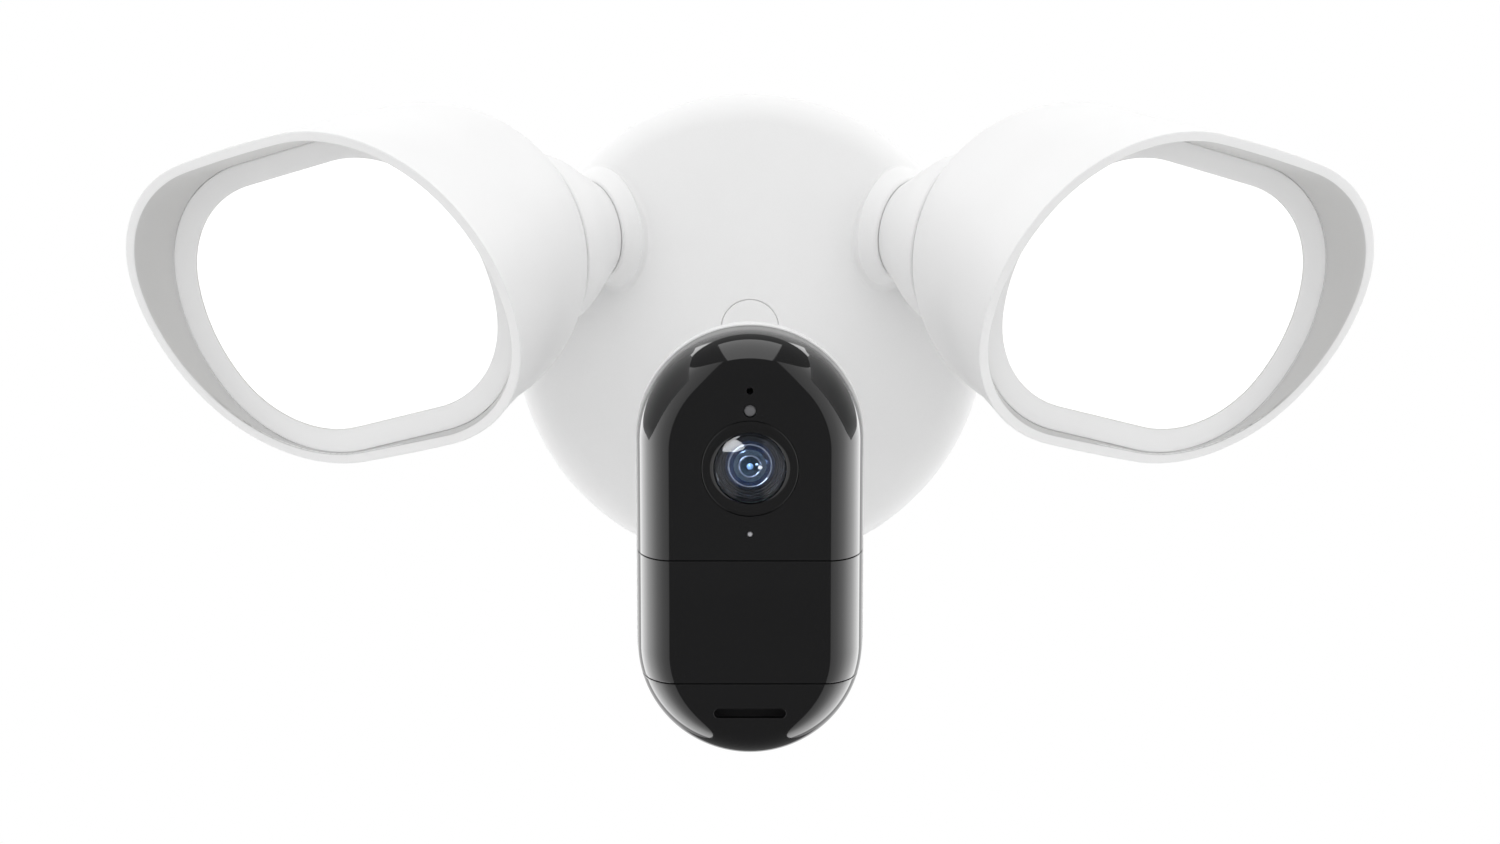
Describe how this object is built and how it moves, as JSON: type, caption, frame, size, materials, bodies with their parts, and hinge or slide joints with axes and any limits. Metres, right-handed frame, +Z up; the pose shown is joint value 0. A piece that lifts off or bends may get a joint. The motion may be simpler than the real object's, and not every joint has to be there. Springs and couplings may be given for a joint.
{
  "type": "floodlight security camera",
  "caption": "Wall floodlight with two hooded swivelling lamp heads on a round base and a glossy black capsule camera on a pan and tilt arm",
  "frame": {"origin": "centre of the mounting bracket's back face, on the wall", "axes": "+Y into the wall, +X along the wall through both lamps, +Z up; the camera and lamps look towards -Y"},
  "size_m": [0.3228, 0.1526, 0.1788],
  "materials": {
    "white_shell": "fine-grained satin white moulding",
    "white_bezel": "satin light grey moulding",
    "diffuser": "lit opal diffuser",
    "black_face": "polished black",
    "black_ring": "dark lens surround",
    "lens_glass": "coated",
    "coated_glass": "blue-coated lens elements",
    "smoked_window": "grey window",
    "status_lens": "small pale light pipe",
    "black_rubber": "matt",
    "gasket_foam": "closed-cell foam",
    "zinc_steel": "zinc plated",
    "screw_steel": "passivated",
    "cast_aluminium": "as cast",
    "circuit_board": "solder mask",
    "white_board": "white solder mask on aluminium",
    "led_phosphor": "phosphor",
    "component_black": "moulded component",
    "ivory_nylon": "nylon",
    "sensor_cover": "translucent sensor cover",
    "white_button": "satin"
  },
  "bodies": {
    "base": {"base_cover": "white_shell", "base_chassis": "zinc_steel", "wall_gasket": "gasket_foam", "mounting_bracket": "zinc_steel", "centre_screw": "screw_steel", "chassis_screws": "screw_steel", "driver_board": "circuit_board", "driver_components": "component_black", "terminal_block": "ivory_nylon", "wire_grommet": "black_rubber", "camera_bracket": "white_shell", "bracket_bolts": "screw_steel", "pan_pin": "screw_steel"},
    "cap": {"screw_cap": "white_shell", "cap_seal": "black_rubber"},
    "left_swivel": {"left_neck": "white_shell", "left_neck_nut": "zinc_steel", "left_friction_washer": "black_rubber"},
    "left_head": {"left_lamp_housing": "white_shell", "left_bezel": "white_bezel", "left_lens": "diffuser", "left_lens_gasket": "black_rubber", "left_led_board": "white_board", "left_leds": "led_phosphor", "left_heat_sink": "cast_aluminium", "left_tilt_pin": "screw_steel", "left_board_screws": "screw_steel"},
    "right_swivel": {"right_neck": "white_shell", "right_neck_nut": "zinc_steel", "right_friction_washer": "black_rubber"},
    "right_head": {"right_lamp_housing": "white_shell", "right_bezel": "white_bezel", "right_lens": "diffuser", "right_lens_gasket": "black_rubber", "right_led_board": "white_board", "right_leds": "led_phosphor", "right_heat_sink": "cast_aluminium", "right_tilt_pin": "screw_steel", "right_board_screws": "screw_steel"},
    "arm": {"camera_arm": "white_shell", "camera_tilt_pin": "screw_steel"},
    "camera_head": {"camera_housing": "white_shell", "upper_face": "black_face", "middle_face": "black_face", "lower_face": "black_face", "lens_ring": "black_ring", "lens_dome": "lens_glass", "lens_barrel": "black_ring", "lens_elements": "coated_glass", "sensor_board": "circuit_board", "main_board": "circuit_board", "motion_sensor": "sensor_cover", "speaker": "component_black", "light_window": "smoked_window", "status_light": "status_lens", "camera_screws": "screw_steel"},
    "button": {"setup_button": "white_button"}
  },
  "joints": [
    {"name": "cap_lift", "type": "slide", "parent": "base", "child": "cap", "axis": [0, -1, 0], "range_m": [0, 0.012]},
    {"name": "left_swivel", "type": "hinge", "parent": "base", "child": "left_swivel", "pos_m": [-0.043, -0.04, 0.027], "axis": [-0.7901, -0.5788, -0.2021], "range_deg": [-30, 30]},
    {"name": "left_tilt", "type": "hinge", "parent": "left_swivel", "child": "left_head", "pos_m": [-0.086, -0.0715, 0.016], "axis": [0.8324, -0.5209, 0.1892], "range_deg": [-13, 13]},
    {"name": "right_swivel", "type": "hinge", "parent": "base", "child": "right_swivel", "pos_m": [0.043, -0.04, 0.027], "axis": [0.7901, -0.5788, -0.2021], "range_deg": [-30, 30]},
    {"name": "right_tilt", "type": "hinge", "parent": "right_swivel", "child": "right_head", "pos_m": [0.086, -0.0715, 0.016], "axis": [0.8324, 0.5209, -0.1892], "range_deg": [-13, 13]},
    {"name": "camera_pan", "type": "hinge", "parent": "base", "child": "arm", "pos_m": [0, -0.041, -0.04179], "axis": [0, 0, 1], "range_deg": [-15, 15]},
    {"name": "camera_tilt", "type": "hinge", "parent": "arm", "child": "camera_head", "pos_m": [0, -0.05296, -0.04179], "axis": [1, 0, 0], "range_deg": [-15, 12]},
    {"name": "button_press", "type": "slide", "parent": "camera_head", "child": "button", "axis": [0, -0.9781, -0.2079], "range_m": [0, 0.001], "stiffness_N_per_m": 300}
  ]
}
